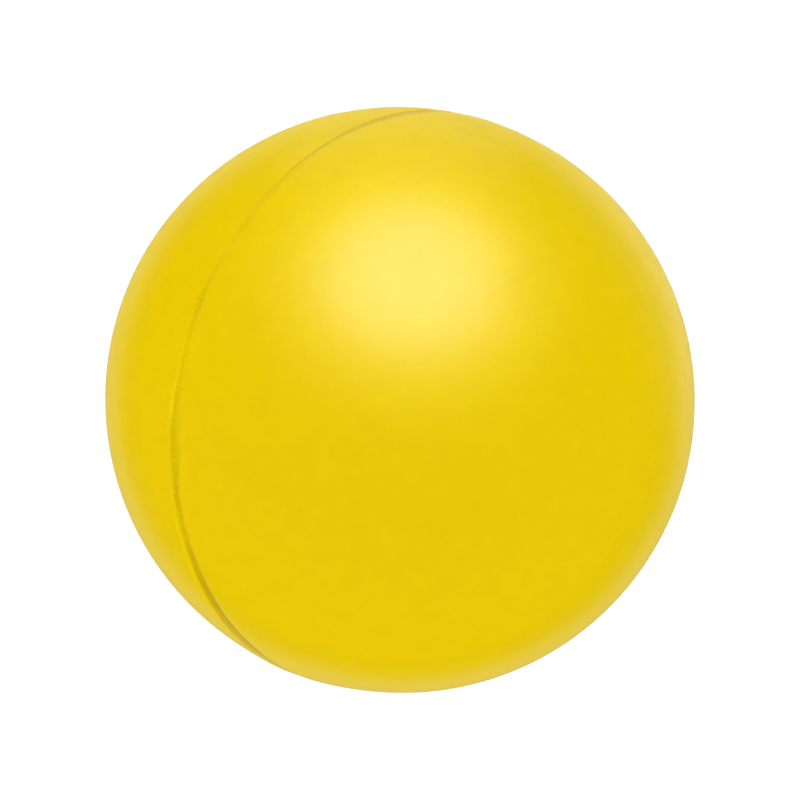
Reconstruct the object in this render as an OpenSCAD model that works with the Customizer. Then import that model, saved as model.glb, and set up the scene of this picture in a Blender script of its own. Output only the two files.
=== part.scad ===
// Moulded foam stress ball, 63 mm across.
// A core of soft open-cell foam sits inside a dense moulded skin with a coloured coat.
// The mould has two halves, so the skin and the coat are two half shells.
// They meet in the YZ plane, where a thin web of flash ends in a rounded bead.
// The ball is squeezed along X, and its centre is at the origin.

/* [Ball] */
// Diameter over the coat
ball_d = 63; // [40:0.5:90]
// Thickness of the coloured coat
coat_t = 0.25; // [0.2:0.05:0.6]
// Thickness of the dense skin under the coat
skin_t = 1; // [0.6:0.1:3]
// Clearance drawn at each bond between two layers
bond_gap = 0.05; // [0.02:0.01:0.1]

/* [Parting line] */
// Width of the groove where the two halves meet
groove_w = 0.8; // [0.6:0.1:2]
// Depth of the groove below the coat
groove_depth = 0.3; // [0.2:0.05:0.5]
// Thickness of the flash web between the two halves
web_t = 0.15; // [0.1:0.01:0.2]
// Height of the flash bead above the coat
bead_h = 0.12; // [0:0.01:0.3]

/* [Hidden] */

$fn = 160;
BEAD_FN = 48;
FOAM_COLOUR = [0.93, 0.84, 0.42];
SKIN_COLOUR = [0.90, 0.76, 0.12];
COAT_COLOUR = [0.93, 0.80, 0.00];
FLASH_COLOUR = [0.82, 0.66, 0.02];
LEFT = -1;
RIGHT = 1;

coat_r = ball_d / 2;
coat_inner_r = coat_r - coat_t;
skin_r = coat_inner_r - bond_gap;
skin_inner_r = skin_r - skin_t;
core_r = skin_inner_r - bond_gap;
web_inner_r = core_r + bond_gap;
half_edge_x = web_t / 2 + bond_gap;

// The bead touches neither wall of the groove: it keeps bond_gap from both.
wall_slope = (groove_w / 2) / norm([groove_w / 2, groove_depth]);
bead_r = (wall_slope * (groove_depth + bead_h) - bond_gap) / (1 + wall_slope);
bead_centre_r = coat_r + bead_h - bead_r;

// Turns a shape made around Z so that it lies around the squeeze axis, on the side given.
module around_x(side) {
    rotate([0, side * 90, 0]) children();
}

// Outline of the right half's side of the groove: radius across, squeeze axis up.
module groove_outline() {
    flare = (groove_w / 2) / groove_depth;
    polygon([
        [coat_r - groove_depth, 0],
        [coat_r + groove_depth, 0],
        [coat_r + groove_depth, 2 * flare * groove_depth]
    ]);
}

// Cross-section of one half of a round layer, cut back along the parting line.
module half_layer_outline(outer_r, inner_r) {
    difference() {
        intersection() {
            circle(outer_r);
            translate([0, half_edge_x]) square(coat_r);
        }
        circle(inner_r);
        groove_outline();
    }
}

// One half of a round layer, on the side given.
module half_layer(side, outer_r, inner_r) {
    around_x(side) rotate_extrude() half_layer_outline(outer_r, inner_r);
}

// Soft open-cell foam that fills the ball
module foam_core() {
    color(FOAM_COLOUR) sphere(core_r);
}

// Dense skin that the foam forms against the left mould half
module left_skin() {
    color(SKIN_COLOUR) half_layer(LEFT, skin_r, skin_inner_r);
}

// Dense skin that the foam forms against the right mould half
module right_skin() {
    color(SKIN_COLOUR) half_layer(RIGHT, skin_r, skin_inner_r);
}

// Coloured coat on the left half
module left_coat() {
    color(COAT_COLOUR) half_layer(LEFT, coat_r, coat_inner_r);
}

// Coloured coat on the right half
module right_coat() {
    color(COAT_COLOUR) half_layer(RIGHT, coat_r, coat_inner_r);
}

// Foam that crept between the mould halves: a thin web with a trimmed, rounded bead
module seam_flash() {
    color(FLASH_COLOUR) around_x(RIGHT) rotate_extrude() union() {
        translate([web_inner_r, -web_t / 2]) square([bead_centre_r - web_inner_r, web_t]);
        translate([bead_centre_r, 0]) circle(bead_r, $fn = BEAD_FN);
    }
}

foam_core();
left_skin();
right_skin();
left_coat();
right_coat();
seam_flash();
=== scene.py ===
import math
from collections import namedtuple

import bmesh
import bpy
import numpy as np
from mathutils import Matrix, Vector, noise


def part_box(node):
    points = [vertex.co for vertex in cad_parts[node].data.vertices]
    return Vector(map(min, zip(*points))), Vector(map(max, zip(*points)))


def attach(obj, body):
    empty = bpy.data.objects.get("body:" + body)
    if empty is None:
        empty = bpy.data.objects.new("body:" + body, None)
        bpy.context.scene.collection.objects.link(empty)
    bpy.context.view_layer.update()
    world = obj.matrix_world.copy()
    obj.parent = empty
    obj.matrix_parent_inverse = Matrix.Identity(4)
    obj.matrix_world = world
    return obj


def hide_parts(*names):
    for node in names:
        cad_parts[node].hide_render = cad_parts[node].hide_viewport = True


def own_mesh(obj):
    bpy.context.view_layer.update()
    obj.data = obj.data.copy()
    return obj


# A moulded foam stress ball: two coated half shells with the dense skin under each, the foam core, and the
# flash that crept out between the mould halves.
# Values are in metres and radians unless a comment says otherwise.

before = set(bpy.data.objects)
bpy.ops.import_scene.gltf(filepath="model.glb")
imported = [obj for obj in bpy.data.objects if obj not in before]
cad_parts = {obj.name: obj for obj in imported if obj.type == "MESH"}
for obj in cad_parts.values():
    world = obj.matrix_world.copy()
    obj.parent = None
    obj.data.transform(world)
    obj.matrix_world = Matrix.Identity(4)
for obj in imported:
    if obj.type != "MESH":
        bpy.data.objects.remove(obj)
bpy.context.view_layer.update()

# ---------------------------------------------------------------- sizes

MM = 0.001
LEFT, RIGHT = -1, 1

# The layers, from the outside in, with the CAD's clearance at each bond
BOND_GAP = 0.05 * MM
BALL_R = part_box("right_coat")[1].x
COAT_T = BALL_R - BOND_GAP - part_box("right_skin")[1].x
CORE_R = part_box("foam_core")[1].x
SKIN_INNER_R = CORE_R + BOND_GAP

CAMERA_AZIMUTH = math.radians(48.3)
CAMERA_ELEVATION = math.radians(15)
CAMERA_DISTANCE = 20 * BALL_R
BALL_SHARE_OF_FRAME = 0.7352


def direction(azimuth, elevation):
    """Unit vector from the ball towards a place at that azimuth (0 is in front, at -Y) and elevation."""
    return Vector((
        math.sin(azimuth) * math.cos(elevation),
        -math.cos(azimuth) * math.cos(elevation),
        math.sin(elevation),
    ))


# The camera's own directions: from the ball to the camera, to the right and up
VIEW_BACK = direction(CAMERA_AZIMUTH, CAMERA_ELEVATION)
VIEW_RIGHT = Vector((math.cos(CAMERA_AZIMUTH), math.sin(CAMERA_AZIMUTH), 0))
VIEW_UP = VIEW_BACK.cross(VIEW_RIGHT)


# ---------------------------------------------------------------- curves


def smoothstep(value, start, end):
    """0 at start, 1 at end, smooth between them; start may be larger than end."""
    t = np.clip((value - start) / (end - start), 0, 1)
    return t * t * (3 - 2 * t)


def stretch(value, begin, full, ebb, end):
    """1 from full to ebb, falling smoothly to 0 at begin and at end."""
    return smoothstep(value, begin, full) * smoothstep(value, end, ebb)


def bell(value, centre, width):
    """A bell curve, 1 at the centre."""
    return np.exp(-(((value - centre) / width) ** 2))


def wave(beta, seed, lowest, highest, count=9):
    """A smooth random curve round the parting line, mostly between -1 and 1, the same every run.

    It is a sum of count waves, and each fits between lowest and highest times round the line."""
    rng = np.random.default_rng(seed)
    total = np.zeros_like(beta)
    for _ in range(count):
        total += np.sin(rng.integers(lowest, highest + 1) * beta + rng.uniform(0, 2 * math.pi))
    return total / math.sqrt(count)


def teeth(beta, pitch, unevenness=0.35):
    """Slanted saw teeth along the parting line, 0 to 1, where trimming tore the flash."""
    along = beta * BALL_R / pitch + unevenness * wave(beta, seed=5, lowest=20, highest=60)
    return along - np.floor(along)


# ---------------------------------------------------------------- the parting line

# The groove round the ball: angle in degrees (0 is the front, 90 the top), how far it runs to the left and
# to the right of the line in mm, how softly it ends on the right, its depth in mm, how much painted shade
# darkens it, and how much painted highlight lightens its left edge
GROOVE = (
    (-180, 0.30, 0.30, 0.0, 0.05, 0.09, 0.0),
    (-120, 0.30, 0.30, 0.0, 0.06, 0.10, 0.0),
    (-75, 1.20, 0.60, 1.0, 0.09, 0.10, 0.0),
    (-54, 1.50, 0.70, 1.0, 0.09, 0.14, 0.0),
    (-48, 1.35, 0.85, 1.0, 0.09, 0.25, 0.0),
    (-40, 1.12, 0.80, 1.0, 0.10, 0.26, 0.1),
    (-30, 1.00, 1.00, 0.8, 0.10, 0.29, 0.3),
    (-22, 0.74, 0.85, 0.6, 0.09, 0.20, 0.35),
    (-15, 0.64, 0.60, 0.3, 0.07, 0.12, 0.35),
    (-8, 0.60, 0.55, 0.1, 0.07, 0.16, 0.2),
    (0, 0.58, 1.35, 0.2, 0.06, 0.11, 0.0),
    (4, 0.52, 1.20, 0.3, 0.06, 0.08, 0.3),
    (8, 0.34, 1.20, 0.6, 0.05, 0.06, 0.9),
    (15, 0.24, 0.90, 0.8, 0.04, 0.04, 0.6),
    (22, 0.25, 0.50, 1.0, 0.03, 0.03, 0.2),
    (30, 0.80, 0.38, 0.5, 0.04, 0.09, 0.0),
    (40, 0.25, 0.32, 0.3, 0.02, 0.04, 0.0),
    (50, 0.30, 0.26, 0.0, 0.02, 0.11, 0.0),
    (62, 0.30, 0.28, 0.0, 0.02, 0.11, 0.0),
    (70, 0.28, 0.60, 0.2, 0.05, 0.15, 0.0),
    (77, 0.36, 1.00, 0.6, 0.06, 0.19, 0.0),
    (85, 0.42, 1.60, 0.9, 0.08, 0.23, 0.0),
    (97, 0.70, 1.80, 0.9, 0.08, 0.20, 0.0),
    (120, 0.35, 0.35, 0.0, 0.04, 0.12, 0.0),
    (180, 0.30, 0.30, 0.0, 0.05, 0.09, 0.0),
)

# Stretches of the line with a look of their own: the degrees where each begins, is full, ebbs and ends
TORN = (1, 4, 11, 15)
SECOND_LINE = (42, 48, 62, 66)
ROUNDED_EDGE = (-40, -25, 17, 25)
UNEVEN = (-26, -8, 64, 72)
RIDGE_CENTRE = -62
RIDGE_SPREAD = 16

# The unevenness that is left outside the uneven stretch, as a share
LEAST_UNEVEN = 0.15

# Teeth where the flash was torn: their pitch, how far they reach to the left, where their middle is as a
# share of that, and how much painted shade darkens their tips
TOOTH_PITCH = 0.48 * MM
TOOTH_REACH = 0.34 * MM
TOOTH_MIDDLE = 0.4
TOOTH_SHADE = 0.07

# The groove's cross-section as shares of its reach: where its flat bottom ends and where its wall ends
BOTTOM_LEFT = 0.72
BOTTOM_RIGHT = 0.45
BOTTOM_RIGHT_SOFT = 0.05
WALL_END = 1.08

# The coat's rounding just left of the groove: its width, its depth, and what the rounded stretch adds
ROUNDING_WIDTH = 0.5 * MM
ROUNDING_DEPTH = 0.012 * MM
ROUNDING_EXTRA = 0.08 * MM

# The faint second line, right of the groove: a dip and a streak of painted shade, each with its place and
# its width
SECOND_DIP_DEPTH = 0.014 * MM
SECOND_DIP = (0.60 * MM, 0.16 * MM)
SECOND_STREAK_SHADE = 0.05
SECOND_STREAK = (0.64 * MM, 0.13 * MM)

# The painted highlight band just left of the groove: where it begins, is full, ebbs and ends, from the
# groove's edge
PAINTED_HIGHLIGHT_BAND = (0, 0.2 * MM, 0.35 * MM, 0.7 * MM)

# The drawn-up skin beside the flash and the dip beyond it: how high or deep each is, its place and its width
LIP_HEIGHT = 0.10 * MM
LIP = (0, 2.6 * MM)
LIP_DIP_DEPTH = 0.07 * MM
LIP_DIP = (7 * MM, 3.5 * MM)

# How far each mould half is out of line: the left one is moved towards this angle, the right one away
MOULD_SHIFT = 0.03 * MM
MOULD_SHIFT_BETA = math.radians(-68)

# The halves' edges keep this far from the parting plane, and the flash lies between them
EDGE = 0.045 * MM

# The share by which the darkest painted shade on the mesh darkens the coat
DARKEST_SHADE = 0.40


class PartingLine:
    """The groove, the step and the flash along the parting line, as functions of the angle beta round it.

    beta is 0 at the front (-Y) and 90 degrees at the top, and runs on round the back. In the calls, u is the
    distance along the surface from the parting plane."""

    def __init__(self, beta):
        self.beta = beta
        deg = np.degrees((beta + math.pi) % (2 * math.pi) - math.pi)
        angles, *columns = zip(*GROOVE)
        # shade is the painted shade in the groove, and pale the painted highlight on its left edge
        left, right, self.soft_right, depth, shade, self.pale = (np.interp(deg, angles, c) for c in columns)
        self.second = stretch(deg, *SECOND_LINE)
        self.rounded = stretch(deg, *ROUNDED_EDGE)
        self.ridge = bell(deg, RIDGE_CENTRE, RIDGE_SPREAD)
        unevenness = LEAST_UNEVEN + (1 - LEAST_UNEVEN) * stretch(deg, *UNEVEN)
        self.fine = wave(beta, seed=13, lowest=170, highest=420, count=30) * unevenness
        self.rough = wave(beta, seed=11, lowest=40, highest=160)
        self.slow = wave(beta, seed=12, lowest=3, highest=11)
        torn = stretch(deg, *TORN)
        self.tooth = torn * teeth(beta, TOOTH_PITCH)
        bite = TOOTH_REACH * (self.tooth - TOOTH_MIDDLE * torn)
        self.reach = {
            LEFT: MM * (left + self.mixed(fine=0.04, rough=0.022)) + bite,
            RIGHT: MM * (right + self.mixed(fine=0.03, slow=0.02)),
        }
        self.depth = MM * depth * (1 + self.mixed(fine=0.12, rough=0.06, slow=0.05))
        self.shade = shade * (1 + self.mixed(fine=0.16, rough=0.05))

    def mixed(self, fine=0, rough=0, slow=0):
        """The three random curves added up, each with its own weight."""
        return fine * self.fine + rough * self.rough + slow * self.slow

    def hollow(self, side, u):
        """1 on the groove's bottom, falling to 0 at the end of its wall."""
        if side == LEFT:
            bottom = BOTTOM_LEFT
        else:
            bottom = BOTTOM_RIGHT + (BOTTOM_RIGHT_SOFT - BOTTOM_RIGHT) * self.soft_right
        return 1 - smoothstep(u / self.reach[side], bottom, WALL_END)

    def dip(self, side, u):
        """How far the coat dips: the groove, and its rounded left edge or the second line on the right."""
        drop = self.depth * self.hollow(side, u)
        if side == LEFT:
            rounding = 1 - smoothstep(u, self.reach[LEFT], self.reach[LEFT] + ROUNDING_WIDTH)
            return drop + (ROUNDING_DEPTH + ROUNDING_EXTRA * self.rounded) * rounding
        return drop + SECOND_DIP_DEPTH * self.second * bell(u, *SECOND_DIP)

    def painted_shade_share(self, side, u):
        """Share of the darkest painted shade tone, in and beside the groove."""
        shade = self.shade * self.hollow(side, u)
        if side == LEFT:
            # Painted shade at the tips of the torn teeth
            shade = shade + TOOTH_SHADE * self.tooth * self.hollow(side, u)
        else:
            # Painted shade along the second line
            shade = shade + SECOND_STREAK_SHADE * self.second * bell(u, *SECOND_STREAK)
        return np.clip(shade / DARKEST_SHADE, 0, 1)

    def gleam(self, side, u):
        """Share of the painted highlight tone just outside the groove's left edge."""
        if side == RIGHT:
            return np.zeros_like(self.beta)
        # A painted highlight just outside the groove's left edge
        return self.pale * stretch(u, *(self.reach[LEFT] + distance for distance in PAINTED_HIGHLIGHT_BAND))

    def lip(self, u):
        """How far the skin is drawn up beside the flash, which is most between the front and the bottom."""
        return self.ridge * (LIP_HEIGHT * bell(u, *LIP) - LIP_DIP_DEPTH * bell(u, *LIP_DIP))

    def shift(self, side):
        """The two mould halves are slightly out of line, so each half of the ball is moved."""
        towards = np.array([0, -math.cos(MOULD_SHIFT_BETA), math.sin(MOULD_SHIFT_BETA)])
        return -side * MOULD_SHIFT * towards


# ---------------------------------------------------------------- the moulded surface

# Angles in the camera's plane, from its right, of the ball's longest diameter and of its small flat
LONG_WAY = math.radians(-25)
FLAT_WAY = math.radians(59)

# How far the surface stands off a true ball: its oval, its flat with how far that spreads, and its soft
# waves with their number across the unit ball and the place in the noise that they come from
OVAL_HEIGHT = 0.11 * MM
FLAT_DEPTH = 0.07 * MM
FLAT_SPREAD = 0.035
WAVE_HEIGHT = 0.025 * MM
WAVE_SCALE = 3.1
WAVE_PLACE = Vector((4, 9, 2))


def in_view_plane(angle):
    """Unit vector in the camera's plane, at that angle from its right."""
    return math.cos(angle) * VIEW_RIGHT + math.sin(angle) * VIEW_UP


def moulded_offset(normals):
    """How far the moulded surface stands off the true ball, in each direction."""
    long_way, short_way = in_view_plane(LONG_WAY), in_view_plane(LONG_WAY + math.pi / 2)
    oval = (normals @ long_way) ** 2 - (normals @ short_way) ** 2
    flat = np.exp(-(1 - normals @ in_view_plane(FLAT_WAY)) / FLAT_SPREAD)
    waves = np.array([noise.noise(Vector(n) * WAVE_SCALE + WAVE_PLACE) for n in normals])
    return OVAL_HEIGHT * oval - FLAT_DEPTH * flat + WAVE_HEIGHT * waves


# ---------------------------------------------------------------- mesh helpers


def add_object(name, data):
    """A new object in the scene."""
    item = bpy.data.objects.new(name, data)
    bpy.context.scene.collection.objects.link(item)
    return item


def add_piece(name, mesh, material):
    """A smooth-shaded piece of the ball."""
    for polygon in mesh.polygons:
        polygon.use_smooth = True
    mesh.materials.append(material)
    return add_object(name, mesh)


def mesh_piece(name, points, faces, material, tints):
    """A piece made of those faces, turned outwards, with each tint's share stored at its points."""
    mesh = bpy.data.meshes.new(name)
    mesh.from_pydata([tuple(p) for p in points], [], faces)
    mesh.validate()
    mesh.update()
    work = bmesh.new()
    work.from_mesh(mesh)
    bmesh.ops.recalc_face_normals(work, faces=work.faces)
    work.to_mesh(mesh)
    work.free()
    piece = add_piece(name, mesh, material)
    for tint, shares in tints.items():
        mesh.attributes.new(tint, "FLOAT", "POINT").data.foreach_set("value", shares)
    return piece


def ring_angles(columns):
    """The angles beta of that many points, evenly spaced round the parting line."""
    return np.arange(columns) * (2 * math.pi / columns)


def ring_normals(side, u, beta):
    """Directions from the ball's centre, at the distance u from the parting plane and the angles beta."""
    angle = u / BALL_R
    return np.stack([
        np.full_like(beta, side * math.sin(angle)),
        -math.cos(angle) * np.cos(beta),
        math.cos(angle) * np.sin(beta),
    ], axis=1)


def join_rings(a, n, b, m):
    """Faces between a ring of n points from a on and one of m from b on; m is n, half n or double n."""
    faces = []
    if n == m:
        for i in range(n):
            faces.append((a + i, a + (i + 1) % n, b + (i + 1) % n, b + i))
    elif n == 2 * m:
        for i in range(m):
            mid, end, last = a + 2 * i + 1, a + (2 * i + 2) % n, b + (i + 1) % m
            faces += [(a + 2 * i, mid, b + i), (mid, last, b + i), (mid, end, last)]
    else:
        for i in range(n):
            mid, end, last = b + 2 * i + 1, b + (2 * i + 2) % m, a + (i + 1) % n
            faces += [(a + i, mid, b + 2 * i), (a + i, last, mid), (last, end, mid)]
    return faces


def stitch(rings, closed_ends=True):
    """Points and faces of a tube through those rings, with a face over each end if the ends are closed."""
    sizes = [len(ring) for ring in rings]
    starts = np.cumsum([0] + sizes)
    faces = []
    for k in range(len(rings) - 1):
        faces += join_rings(starts[k], sizes[k], starts[k + 1], sizes[k + 1])
    if closed_ends:
        faces.append(tuple(reversed(range(starts[0], starts[1]))))
        faces.append(tuple(range(starts[-2], starts[-1])))
    return np.concatenate(rings), faces


# ---------------------------------------------------------------- half shells

# How finely a surface is divided: points round the parting line, the first step away from it, how fast the
# steps grow, and the largest step
Grid = namedtuple("Grid", "columns first growth largest")

# The outer and the inner surface of each layer; both have the same columns, so they meet point by point
COAT_COLUMNS = 2304
SKIN_COLUMNS = 768
COAT_GRIDS = (Grid(COAT_COLUMNS, 0.04 * MM, 1.07, 0.8 * MM), Grid(COAT_COLUMNS, 0.1 * MM, 1.6, 2.4 * MM))
SKIN_GRIDS = (Grid(SKIN_COLUMNS, 0.08 * MM, 1.25, 1.6 * MM), Grid(SKIN_COLUMNS, 0.2 * MM, 1.4, 1.2 * MM))

# A ring gets half as many points as the last one where so many would lie closer together than this share of
# the gap to the next ring, as long as there are more than the fewest
CROWDED = 0.7
FEWEST_COLUMNS = 24

# The last ring keeps this share of the largest step from the pole
POLE_MARGIN = 0.6

# Bubbles on the inside of the skin: their number across the unit ball and their height
BUBBLE_SCALE = 34
BUBBLE_HEIGHT = 0.06 * MM


def arc_steps(grid):
    """Distances from the edge at the parting line to near the pole, closest together at the line."""
    steps = [EDGE]
    step = grid.first
    last = BALL_R * math.pi / 2 - POLE_MARGIN * grid.largest
    while steps[-1] + step < last:
        steps.append(steps[-1] + step)
        step = min(step * grid.growth, grid.largest)
    return steps


def columns_for(u, gap, columns):
    """How many points the ring at u has, after a ring with that many and a gap before the next one."""
    length = 2 * math.pi * BALL_R * math.cos(u / BALL_R)
    crowded = u > EDGE and length / columns < CROWDED * gap
    if crowded and columns > FEWEST_COLUMNS and columns % 2 == 0:
        return columns // 2
    return columns


def layer_rings(side, radius_at, grid):
    """Rings of one surface of a half layer, from the parting line to the pole, and their points' tints."""
    rings, painted_shades, painted_highlights = [], [], []
    steps = arc_steps(grid)
    gaps = list(np.diff(steps))
    gaps.append(gaps[-1])
    columns = grid.columns
    for u, gap in zip(steps, gaps):
        columns = columns_for(u, gap, columns)
        line = PartingLine(ring_angles(columns))
        normals = ring_normals(side, u, line.beta)
        rings.append(normals * radius_at(line, u, normals)[:, None] + line.shift(side))
        painted_shades.append(line.painted_shade_share(side, u))
        painted_highlights.append(line.gleam(side, u))
    return rings, painted_shades, painted_highlights


def half_shell(name, side, surfaces, grids, material):
    """A closed half shell: its outer surface, its edge at the parting line and its inner surface."""
    outer, inner = (layer_rings(side, surface, grid) for surface, grid in zip(surfaces, grids))
    rings, painted_shades, painted_highlights = (out[::-1] + back for out, back in zip(outer, inner))
    # The tints are the painted shade and the painted highlight along the parting line
    tints = {"line_shade": np.concatenate(painted_shades), "line_gleam": np.concatenate(painted_highlights)}
    return mesh_piece(name, *stitch(rings), material, tints)


# The surfaces: each gives the radius in the directions normals, at the distance u from the parting plane


def coat_outer(side):
    return lambda line, u, normals: BALL_R + moulded_offset(normals) - line.dip(side, u) + line.lip(u)


def coat_inner(side):
    return lambda line, u, normals: coat_outer(side)(line, u, normals) - COAT_T


def skin_outer(side):
    return lambda line, u, normals: coat_inner(side)(line, u, normals) - BOND_GAP


def skin_inner(line, u, normals):
    bubbles = np.array([noise.noise(Vector(n) * BUBBLE_SCALE) for n in normals])
    return SKIN_INNER_R + BUBBLE_HEIGHT * (1 + bubbles)


# ---------------------------------------------------------------- materials

# Base colours; a pair is what a fine mottling runs between
COAT_TONES = ((0.857, 0.609, 0.0004), (0.887, 0.631, 0.0008))
SKIN_TONES = ((0.70, 0.47, 0.02), (0.80, 0.57, 0.04))
# Painted shade in the skin's pores
SKIN_PORE_SHADE_TONE = (0.52, 0.33, 0.01)
FOAM_TONES = ((0.82, 0.63, 0.14), (0.88, 0.72, 0.22))
# Painted shade in the foam's cell mouths
FOAM_CELL_SHADE_TONE = (0.50, 0.34, 0.05)
FLASH_TONES = ((0.82, 0.57, 0.0), (0.86, 0.62, 0.001))

# Tones along the parting line: the painted shade at its darkest, and the painted highlight on the groove's
# left edge
PAINTED_SHADE_TONE = (0.52, 0.35, 0.0)
PAINTED_HIGHLIGHT_TONE = (0.96, 0.70, 0.003)


class Nodes:
    """A material's node tree, with short calls for the nodes used here. Scales are in grains per metre."""

    def __init__(self, name):
        self.material = bpy.data.materials.new(name)
        self.material.use_nodes = True
        self.tree = self.material.node_tree
        self.shader = self.tree.nodes["Principled BSDF"]
        self.place = self.tree.nodes.new("ShaderNodeTexCoord").outputs["Object"]

    def link(self, a, b):
        self.tree.links.new(a, b)

    def set(self, socket, value):
        """Give one of the shader's own sockets a value that is the same all over."""
        self.shader.inputs[socket].default_value = value

    def feed(self, socket, output):
        """Give one of the shader's own sockets a value that varies over the surface."""
        self.link(output, self.shader.inputs[socket])

    def noise(self, scale, detail=2.0, rough=0.5):
        node = self.tree.nodes.new("ShaderNodeTexNoise")
        node.inputs["Scale"].default_value = scale
        node.inputs["Detail"].default_value = detail
        node.inputs["Roughness"].default_value = rough
        self.link(self.place, node.inputs["Vector"])
        return node.outputs["Fac"]

    def cells(self, scale, feature="F1"):
        node = self.tree.nodes.new("ShaderNodeTexVoronoi")
        node.feature = feature
        node.inputs["Scale"].default_value = scale
        self.link(self.place, node.inputs["Vector"])
        return node.outputs["Distance"]

    def share(self, tint):
        """A tint's share as stored on the mesh: 0 away from the parting line, up to 1 along it."""
        node = self.tree.nodes.new("ShaderNodeAttribute")
        node.attribute_name = tint
        return node.outputs["Fac"]

    def span(self, value, source, target):
        """The value with the range source mapped onto the range target."""
        node = self.tree.nodes.new("ShaderNodeMapRange")
        for key, number in zip(("From Min", "From Max", "To Min", "To Max"), (*source, *target)):
            node.inputs[key].default_value = number
        self.link(value, node.inputs["Value"])
        return node.outputs["Result"]

    def math(self, operation, a, b):
        node = self.tree.nodes.new("ShaderNodeMath")
        node.operation = operation
        for socket, value in zip(node.inputs, (a, b)):
            if isinstance(value, (int, float)):
                socket.default_value = value
            else:
                self.link(value, socket)
        return node.outputs[0]

    def mix(self, share, low, high):
        node = self.tree.nodes.new("ShaderNodeMix")
        node.data_type = "RGBA"
        self.link(share, node.inputs["Factor"])
        for key, value in (("A", low), ("B", high)):
            socket = [s for s in node.inputs if s.name == key and s.type == "RGBA"][0]
            if isinstance(value, tuple):
                socket.default_value = (*value, 1)
            else:
                self.link(value, socket)
        return [s for s in node.outputs if s.type == "RGBA"][0]

    def mottled(self, tones, scale, rough=0.5, source=(0.3, 0.7)):
        """A pair of tones mixed by noise; source is the part of the noise's range that they spread over."""
        return self.mix(self.span(self.noise(scale, 4, rough), source, (0, 1)), *tones)

    def bump(self, height, distance, under=None):
        node = self.tree.nodes.new("ShaderNodeBump")
        node.inputs["Distance"].default_value = distance
        node.inputs["Strength"].default_value = 1
        self.link(height, node.inputs["Height"])
        if under is not None:
            self.link(under, node.inputs["Normal"])
        return node.outputs["Normal"]


def coat_material():
    """Satin yellow in-mould coat with a faint orange peel, with painted shade in the groove along the
    parting line and a painted highlight beside it.
    """
    n = Nodes("coat_yellow_satin")
    tone = n.mottled(COAT_TONES, 420, rough=0.6)
    # A painted highlight lightens the coat just left of the groove
    highlighted_tone = n.mix(n.share("line_gleam"), tone, PAINTED_HIGHLIGHT_TONE)
    # Painted shade darkens the colour in the groove along the parting line
    n.feed("Base Color", n.mix(n.share("line_shade"), highlighted_tone, PAINTED_SHADE_TONE))
    n.feed("Roughness", n.span(n.noise(700, 3), (0.2, 0.8), (0.30, 0.34)))
    peel = n.bump(n.noise(1300, 2), 0.007 * MM)
    n.feed("Normal", n.bump(n.noise(5200, 2, 0.6), 0.0025 * MM, under=peel))
    n.set("IOR", 1.5)
    n.set("Specular IOR Level", 0.3)
    return n.material


def skin_material():
    """Dense foam skin: dull yellow with closed pores, darkened with painted shade."""
    n = Nodes("skin_dense_foam")
    tone = n.mottled(SKIN_TONES, 160)
    pores = n.span(n.cells(1500), (0, 0.35), (0, 1))
    # Painted shade in the pores
    n.feed("Base Color", n.mix(pores, SKIN_PORE_SHADE_TONE, tone))
    n.feed("Roughness", n.span(n.noise(800, 3), (0.3, 0.7), (0.68, 0.8)))
    n.feed("Normal", n.bump(pores, 0.06 * MM))
    return n.material


def foam_material():
    """Open-cell foam: pale struts, large and fine, with painted shade in the cell mouths between them."""
    n = Nodes("foam_open_cell")
    large = n.span(n.cells(1100, "DISTANCE_TO_EDGE"), (0, 0.22), (1, 0))
    fine = n.span(n.cells(2600, "DISTANCE_TO_EDGE"), (0, 0.25), (1, 0))
    struts = n.math("MAXIMUM", large, n.math("MULTIPLY", fine, 0.6))
    tone = n.mottled(FOAM_TONES, 120)
    # Painted shade in the cell mouths between the struts
    n.feed("Base Color", n.mix(struts, FOAM_CELL_SHADE_TONE, tone))
    n.feed("Roughness", n.span(fine, (0, 1), (0.95, 0.8)))
    n.feed("Normal", n.bump(struts, 0.25 * MM))
    return n.material


def flash_material():
    """Trimmed flash: bare foam with a torn edge, with the same painted shade as the groove that it lies in.
    """
    n = Nodes("flash_trimmed_foam")
    tone = n.mottled(FLASH_TONES, 1400, rough=0.6, source=(0.35, 0.65))
    # Painted shade darkens the flash as it does the groove
    n.feed("Base Color", n.mix(n.share("line_shade"), tone, PAINTED_SHADE_TONE))
    n.feed("Roughness", n.span(n.noise(2500, 3), (0.2, 0.8), (0.62, 0.82)))
    n.feed("Normal", n.bump(n.noise(6000, 3, 0.65), 0.008 * MM))
    n.set("Specular IOR Level", 0.02)
    return n.material


# ---------------------------------------------------------------- the pieces

# The core's surface: its pits and its soft swells, each with its number across the unit ball and its depth
PIT_SCALE = 26
PIT_SPREAD = 0.42
PIT_DEPTH = 0.55 * MM
SWELL_SCALE = 5
SWELL_DEPTH = 0.05 * MM

# The flash: half its web's thickness and how far below the groove the web ends, then half its bead's
# thickness and the range of that, how far the bead's top wanders, and the points in a quarter of its outline
WEB_HALF = 0.03 * MM
WEB_BELOW_GROOVE = 0.2 * MM
BEAD_HALF = 0.038 * MM
BEAD_HALF_RANGE = (0.034 * MM, 0.041 * MM)
BEAD_TOP_RANGE = (-0.02 * MM, 0.03 * MM)
BEAD_POINTS = 5


def make_half(word, side, coat, skin):
    """The coat and the skin of one mould half, by material slot."""
    coat_surfaces = (coat_outer(side), coat_inner(side))
    skin_surfaces = (skin_outer(side), skin_inner)
    return {
        "coat": half_shell(word + "_coat_shell", side, coat_surfaces, COAT_GRIDS, coat),
        "skin": half_shell(word + "_skin_shell", side, skin_surfaces, SKIN_GRIDS, skin),
    }


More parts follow.
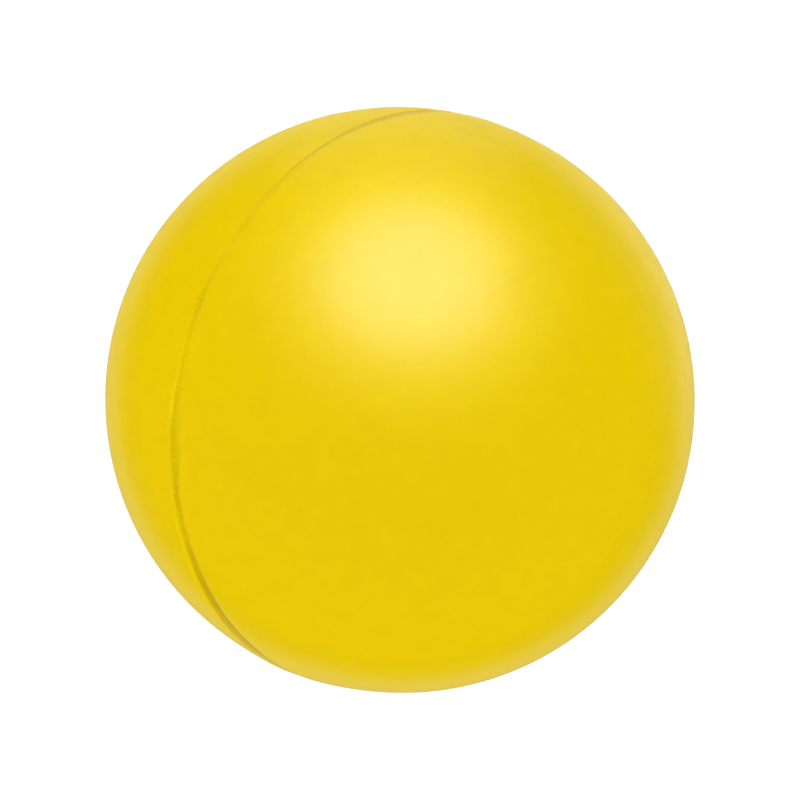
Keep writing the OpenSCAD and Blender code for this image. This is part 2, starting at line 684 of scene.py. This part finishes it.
def make_core():
    """The foam core: a ball of open cells, pitted all over where it was peeled from its skin."""
    work = bmesh.new()
    bmesh.ops.create_icosphere(work, subdivisions=6, radius=1)
    for vertex in work.verts:
        normal = vertex.co.normalized()
        distances, _ = noise.voronoi(normal * PIT_SCALE)
        pit = max(0.0, PIT_SPREAD - distances[0]) / PIT_SPREAD
        swell = 1 + noise.noise(normal * SWELL_SCALE)
        vertex.co = normal * (CORE_R - PIT_DEPTH * pit * pit - SWELL_DEPTH * swell)
    mesh = bpy.data.meshes.new("foam_core_cells")
    work.to_mesh(mesh)
    work.free()
    return add_piece("foam_core_cells", mesh, foam_material())


def flash_outline(line, groove):
    """The flash's cross-section, all round the line: pairs of a radius and a distance from the plane."""
    bead_half = np.clip(BEAD_HALF + MM * line.mixed(rough=0.001), *BEAD_HALF_RANGE)
    bead_top = groove + np.clip(MM * line.mixed(rough=0.008, slow=0.005), *BEAD_TOP_RANGE)
    bead_centre = bead_top - bead_half
    web_half = np.full_like(groove, WEB_HALF)
    half = [(np.full_like(groove, SKIN_INNER_R), web_half), (groove - WEB_BELOW_GROOVE, web_half)]
    for turn in np.radians(np.linspace(0, 90, BEAD_POINTS)):
        half.append((bead_centre + bead_half * math.sin(turn), bead_half * math.cos(turn)))
    return half + [(radius, -x) for radius, x in half[-2::-1]]


def make_flash():
    """The flash: a thin web out from the core, and a ragged rounded bead in the groove."""
    line = PartingLine(ring_angles(COAT_COLUMNS))
    normals = ring_normals(RIGHT, 0, line.beta)
    groove = BALL_R + moulded_offset(normals) - line.depth + line.lip(0)
    rings = []
    for radius, x in flash_outline(line, groove):
        ring = normals * radius[:, None]
        ring[:, 0] = x
        rings.append(ring)
    points, faces = stitch(rings + rings[:1], closed_ends=False)
    count = len(rings) * COAT_COLUMNS
    faces = [tuple(i % count for i in face) for face in faces]
    tints = {"line_shade": np.tile(line.painted_shade_share(LEFT, 0), len(rings))}
    return mesh_piece("seam_flash_web", points[:count], faces, flash_material(), tints)


def place(piece, node, body):
    """The piece rides on its body, stands for its node, and gets a mesh of its own."""
    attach(piece, body)
    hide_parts(node)
    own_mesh(piece)


def make_halves():
    """Both mould halves, each carried by its own body."""
    coat, skin = coat_material(), skin_material()
    for word, side in (("left", LEFT), ("right", RIGHT)):
        for slot, piece in make_half(word, side, coat, skin).items():
            place(piece, f"{word}_{slot}", f"{word}_half")


def make_middle():
    """The core and the flash stay in the middle, on the core's body."""
    place(make_core(), "foam_core", "core")
    place(make_flash(), "seam_flash", "core")


# ---------------------------------------------------------------- stage, light and camera

WHITE = (1, 1, 1)
WHITE_TO_CAMERA = 1.05

# The floor reaches this many ball radii each way, and lies this far under the ball
FLOOR_REACH = 40
FLOOR_GAP = 0.1 * MM

# Light that goes back and forth between the floor and the ball turns yellow
FLOOR_BOUNCE = 1.13
FLOOR_BOUNCE_COLOUR = (1, 0.99, 0.12)

# The key's middle is slightly cool, and its dim edge falls on the ball as a warm glow
KEY_MIDDLE_COLOUR = (0.85, 1, 1)
KEY_EDGE_COLOUR = (1, 1, 0.08)

# The far part of the tent is seen only as a pale yellow rim on the ball
RIM_COLOUR = (1, 1, 0.7)


def round_from_camera(turn, elevation):
    """A spot that many degrees round from the camera, to its right, at that elevation in degrees."""
    return CAMERA_AZIMUTH + math.radians(turn), math.radians(elevation)


KEY_SPOT = round_from_camera(9.7, 62.7)
OVERHEAD = (0, math.radians(90))
LAMP_DISTANCE = 1.0

# Name, spot, half-angle seen from the ball in degrees, radiance, colour
MATT_LAMPS = (
    ("key_diffuser", KEY_SPOT, 55, 0.43, WHITE),
    ("tent_top", OVERHEAD, 55, 0.32, WHITE),
    ("tent_front", round_from_camera(0, 20), 45, 0.17, WHITE),
    ("tent_left", round_from_camera(-90, 20), 45, 0.94, WHITE),
    ("tent_right", round_from_camera(90, 20), 45, 0.73, WHITE),
    ("backdrop", round_from_camera(180, 5), 55, 0.90, WHITE),
)
GLOSS_LAMPS = (
    ("key_centre_gloss", KEY_SPOT, 10, 4.4, KEY_MIDDLE_COLOUR),
    ("key_inner_gloss", KEY_SPOT, 20, 7.0, KEY_MIDDLE_COLOUR),
    ("key_middle_gloss", KEY_SPOT, 30, 8.0, KEY_MIDDLE_COLOUR),
    ("key_edge_gloss", KEY_SPOT, 50, 3.1, KEY_EDGE_COLOUR),
    ("backdrop_gloss", round_from_camera(180, -15), 40, 0.52, RIM_COLOUR),
    ("backdrop_top_gloss", round_from_camera(180, 50), 25, 0.6, WHITE),
    ("backdrop_right_gloss", round_from_camera(140, 5.73), 22, 0.25, WHITE),
)


def white_for_camera(tree, shader, strength_to_surfaces, colour_to_surfaces):
    """Let the camera see plain white, and give the surfaces their own amount and colour of light."""
    path = tree.nodes.new("ShaderNodeLightPath")
    strength = tree.nodes.new("ShaderNodeMix")
    strength.inputs["A"].default_value = strength_to_surfaces
    strength.inputs["B"].default_value = WHITE_TO_CAMERA
    colour = tree.nodes.new("ShaderNodeMixRGB")
    colour.inputs["Color1"].default_value = (*colour_to_surfaces, 1)
    colour.inputs["Color2"].default_value = (*WHITE, 1)
    for mix, share in ((strength, "Factor"), (colour, "Fac")):
        tree.links.new(path.outputs["Is Camera Ray"], mix.inputs[share])
    tree.links.new(strength.outputs["Result"], shader.inputs["Strength"])
    tree.links.new(colour.outputs["Color"], shader.inputs["Color"])


def make_floor():
    """A plain pale floor under the ball, lit until it is white, as in the studio."""
    half = FLOOR_REACH * BALL_R
    height = -BALL_R - FLOOR_GAP
    mesh = bpy.data.meshes.new("floor")
    corners = [(x * half, y * half, height) for x, y in ((-1, -1), (1, -1), (1, 1), (-1, 1))]
    mesh.from_pydata(corners, [], [(0, 1, 2, 3)])
    floor = add_object("floor", mesh)
    material = bpy.data.materials.new("floor_white")
    material.use_nodes = True
    tree = material.node_tree
    tree.nodes.remove(tree.nodes["Principled BSDF"])
    shader = tree.nodes.new("ShaderNodeEmission")
    white_for_camera(tree, shader, FLOOR_BOUNCE, FLOOR_BOUNCE_COLOUR)
    tree.links.new(shader.outputs[0], tree.nodes["Material Output"].inputs["Surface"])
    mesh.materials.append(material)
    floor.visible_glossy = False


def make_world():
    """White all round for the camera; the lamps and the floor give the light."""
    world = bpy.data.worlds.new("studio")
    bpy.context.scene.world = world
    world.use_nodes = True
    tree = world.node_tree
    white_for_camera(tree, tree.nodes["Background"], strength_to_surfaces=0, colour_to_surfaces=WHITE)


def make_lamp(name, spot, half_angle, radiance, colour):
    """A round softbox facing the ball from that spot, as wide as that half-angle seen from the ball."""
    radius = LAMP_DISTANCE * math.tan(math.radians(half_angle))
    area = math.pi * radius ** 2
    data = bpy.data.lights.new(name, "AREA")
    data.shape = "DISK"
    data.size = 2 * radius
    data.color = colour
    # A flat lamp gives off pi times its radiance for each square metre
    data.energy = radiance * math.pi * area
    lamp = add_object(name, data)
    towards = direction(*spot)
    lamp.location = towards * LAMP_DISTANCE
    lamp.rotation_mode = "QUATERNION"
    lamp.rotation_quaternion = towards.to_track_quat("Z", "Y")
    lamp.visible_camera = False
    return lamp


def make_lamps():
    """Broad lamps for the matt shading, and the key and parts of the backdrop for the gloss."""
    for settings in MATT_LAMPS:
        lamp = make_lamp(*settings)
        lamp.visible_glossy = False
        lamp.data.cycles.use_multiple_importance_sampling = False
    for settings in GLOSS_LAMPS:
        lamp = make_lamp(*settings)
        lamp.visible_diffuse = False


def make_camera():
    """A camera at the photo's angle, with a lens that makes the ball as wide as it is there."""
    data = bpy.data.cameras.new("camera")
    camera = add_object("camera", data)
    camera.location = VIEW_BACK * CAMERA_DISTANCE
    camera.rotation_mode = "QUATERNION"
    camera.rotation_quaternion = (-VIEW_BACK).to_track_quat("-Z", "Y")
    outline = math.tan(math.asin(BALL_R / CAMERA_DISTANCE))
    data.lens = data.sensor_width / 2 * BALL_SHARE_OF_FRAME / outline
    data.clip_start = 0.01
    data.clip_end = 100
    bpy.context.scene.camera = camera


make_camera()
make_world()
make_floor()
make_lamps()
make_halves()
make_middle()

bpy.context.scene.view_settings.view_transform = "Standard"
bpy.context.scene.view_settings.look = "None"
